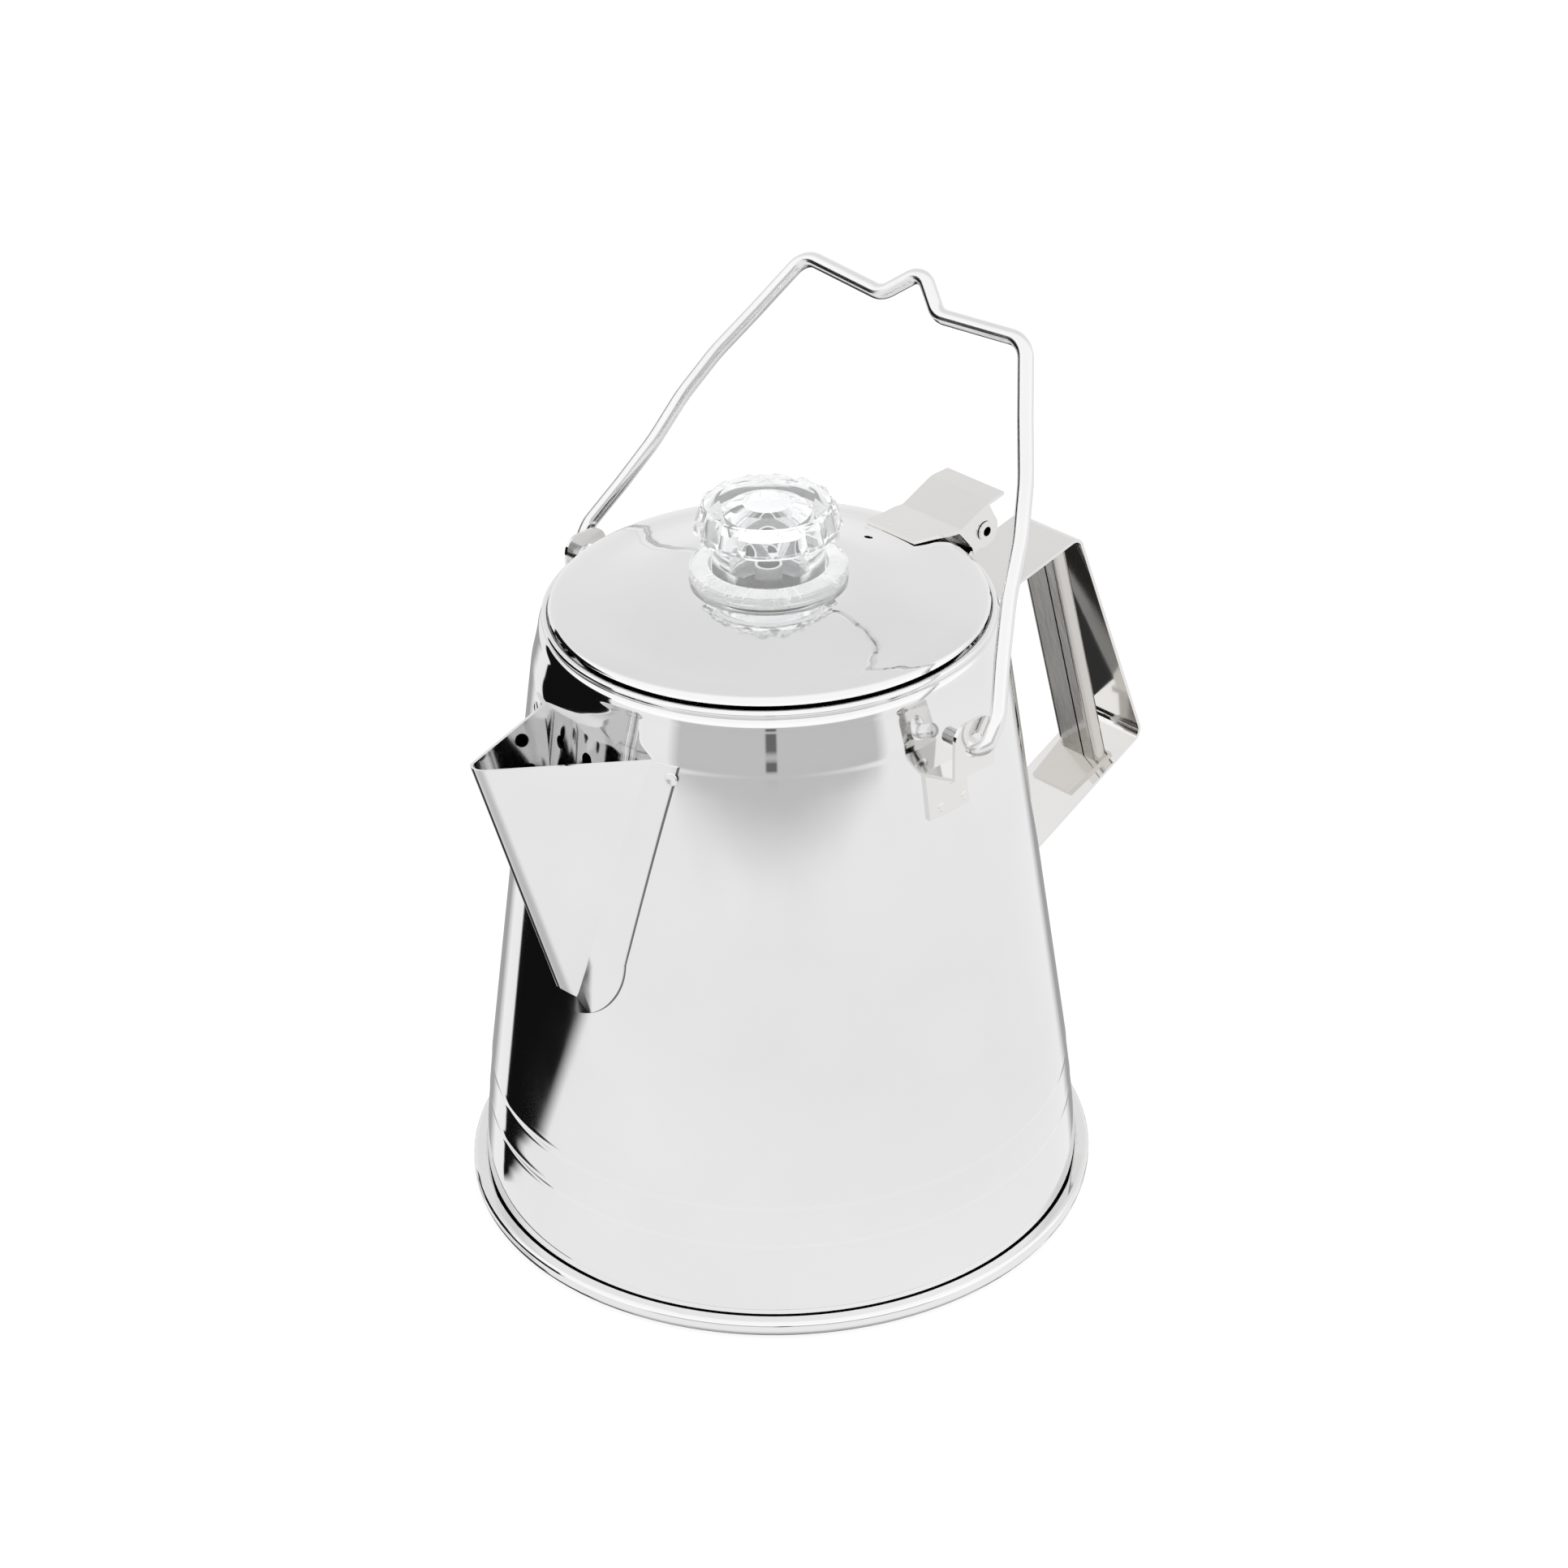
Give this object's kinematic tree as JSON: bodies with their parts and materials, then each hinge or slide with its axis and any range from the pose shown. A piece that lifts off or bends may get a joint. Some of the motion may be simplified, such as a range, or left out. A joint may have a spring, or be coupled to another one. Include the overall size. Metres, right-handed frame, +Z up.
{
  "type": "coffee percolator",
  "caption": "Conical steel camp coffee percolator: folded spout, wire bail, strap handle, hinged lid with a clear knob, and a lift-out pump, basket and spreader.",
  "frame": {"origin": "centre of the flat bottom, on the surface the pot stands on", "axes": "+Z up along the pot's axis; -Y towards the spout and +Y towards the strap handle; +X towards one bail ear, to the right when seen from the spout's opposite side along -Y"},
  "size_m": [0.2166, 0.293, 0.3122],
  "materials": {
    "polished_steel": "mirror-polished stainless sheet",
    "formed_steel": "bright stainless sheet with faint forming lines",
    "wire_steel": "drawn stainless wire with lengthwise lines",
    "inner_steel": "satin stainless",
    "clear_resin": "clear moulded resin",
    "seal": "translucent silicone"
  },
  "bodies": {
    "pot": {"pot_body": "polished_steel", "base_plate": "polished_steel", "base_ring": "polished_steel", "rim_ring": "polished_steel", "spout": "polished_steel", "ear_right": "formed_steel", "ear_left": "formed_steel", "handle_strap": "formed_steel", "handle_grip": "formed_steel", "hinge_bracket": "formed_steel", "hinge_pin": "formed_steel"},
    "bail": {"bail": "wire_steel"},
    "lid": {"lid": "polished_steel", "hinge_leaf": "formed_steel", "knob": "clear_resin", "knob_gasket": "seal", "knob_clip": "formed_steel"},
    "pump": {"pump_stem": "inner_steel", "stem_collar": "inner_steel", "pump_base": "inner_steel"},
    "valve": {"pump_valve": "inner_steel"},
    "basket": {"basket": "inner_steel", "basket_tube": "inner_steel"},
    "spreader": {"spreader": "inner_steel"}
  },
  "joints": [
    {"name": "bail_swing", "type": "hinge", "parent": "pot", "child": "bail", "pos_m": [0, 0, 0.2003], "axis": [1, 0, 0], "range_deg": [-56, 155]},
    {"name": "lid_hinge", "type": "hinge", "parent": "pot", "child": "lid", "pos_m": [0, 0.086, 0.2174], "axis": [-1, 0, 0], "range_deg": [0, 45]},
    {"name": "pump_lift", "type": "slide", "parent": "pot", "child": "pump", "axis": [0, 0, 1], "range_m": [0, 0.006]},
    {"name": "valve_lift", "type": "slide", "parent": "pump", "child": "valve", "axis": [0, 0, 1], "range_m": [0, 0.0025]},
    {"name": "basket_lift", "type": "slide", "parent": "pump", "child": "basket", "axis": [0, 0, 1], "range_m": [0, 0.004]},
    {"name": "spreader_lift", "type": "slide", "parent": "basket", "child": "spreader", "axis": [0, 0, 1], "range_m": [0, 0.004]}
  ]
}
